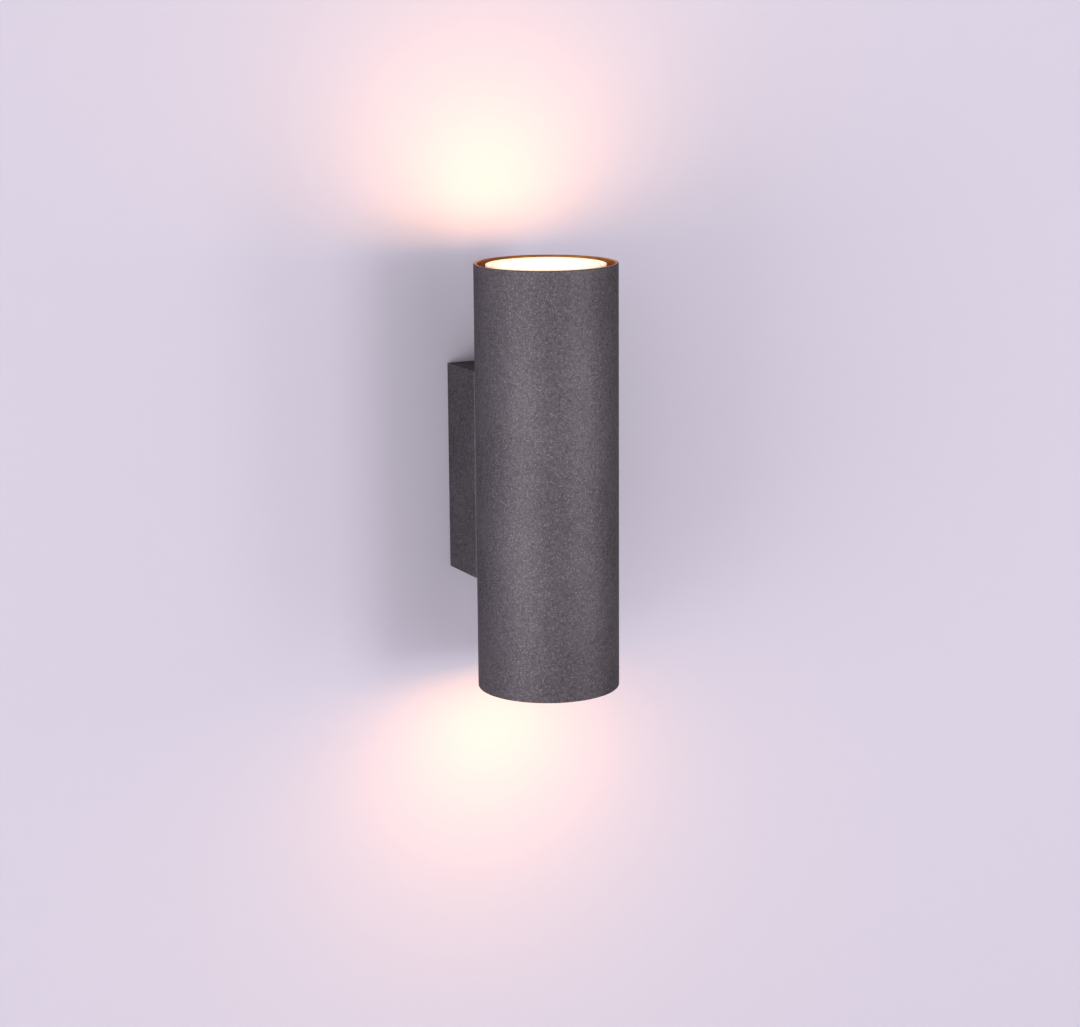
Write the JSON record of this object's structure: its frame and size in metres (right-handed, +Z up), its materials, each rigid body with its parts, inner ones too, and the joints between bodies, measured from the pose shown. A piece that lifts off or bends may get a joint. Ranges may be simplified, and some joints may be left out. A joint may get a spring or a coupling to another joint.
{
  "type": "tube wall light",
  "caption": "Up-and-down wall light: round textured anthracite tube with a twist-lock reflector lamp at each end, on a small sheet-metal wall box.",
  "frame": {"origin": "middle of the wall bracket's back face, midway between its two screw slots, on the wall", "axes": "+Z up along the tube, +X to the right, +Y into the wall"},
  "size_m": [0.06, 0.0875, 0.18],
  "materials": {
    "anthracite_coat": "fine-textured metallic anthracite powder coat",
    "zinc_sheet": "zinc-plated sheet steel",
    "dark_screw": "blackened steel",
    "zinc_screw": "zinc-plated steel",
    "brass_screw": "plain brass",
    "rubber_bush": "matt black rubber",
    "terminal_nylon": "white nylon",
    "terminal_brass": "tinned brass",
    "earth_insulation": "green and yellow insulation",
    "lead_insulation": "white silicone insulation",
    "holder_ceramic": "unglazed ceramic",
    "lamp_plastic": "matt white plastic",
    "pin_nickel": "nickel-plated brass",
    "lit_lens": "clear moulded lens, shown lit warm white",
    "light_board": "white lacquered aluminium board",
    "driver_laminate": "green circuit board"
  },
  "bodies": {
    "fitting": {"tube": "anthracite_coat", "wall_box": "anthracite_coat", "wall_bracket": "zinc_sheet", "holder_bridge": "zinc_sheet", "cover_screws": "dark_screw", "tube_screws": "zinc_screw", "tube_washers": "zinc_screw", "bridge_nuts": "zinc_screw", "block_screw": "zinc_screw", "earth_screw": "brass_screw", "earth_washer": "brass_screw", "earth_tags": "brass_screw", "cable_grommet": "rubber_bush", "terminal_block": "terminal_nylon", "terminal_sleeves": "terminal_brass", "terminal_screws": "zinc_screw", "earth_wire": "earth_insulation", "lead_wires_upper": "lead_insulation", "lead_wires_lower": "lead_insulation", "lampholder_upper": "holder_ceramic", "holder_cover_upper": "holder_ceramic", "contacts_upper": "terminal_brass", "holder_screws_upper": "zinc_screw", "lampholder_lower": "holder_ceramic", "holder_cover_lower": "holder_ceramic", "contacts_lower": "terminal_brass", "holder_screws_lower": "zinc_screw"},
    "upper_lamp": {"lamp_base_upper": "lamp_plastic", "lamp_pins_upper": "pin_nickel", "lamp_shell_upper": "lamp_plastic", "lamp_lens_upper": "lit_lens", "led_board_upper": "light_board", "driver_board_upper": "driver_laminate"},
    "lower_lamp": {"lamp_base_lower": "lamp_plastic", "lamp_pins_lower": "pin_nickel", "lamp_shell_lower": "lamp_plastic", "lamp_lens_lower": "lit_lens", "led_board_lower": "light_board", "driver_board_lower": "driver_laminate"}
  },
  "joints": [
    {"name": "upper_lamp_twist", "type": "hinge", "parent": "fitting", "child": "upper_lamp", "pos_m": [0, -0.0575, 0.0455], "axis": [0, 0, 1], "range_deg": [0, 25]},
    {"name": "lower_lamp_twist", "type": "hinge", "parent": "fitting", "child": "lower_lamp", "pos_m": [0, -0.0575, -0.0395], "axis": [0, 0, -1], "range_deg": [0, 25]}
  ]
}
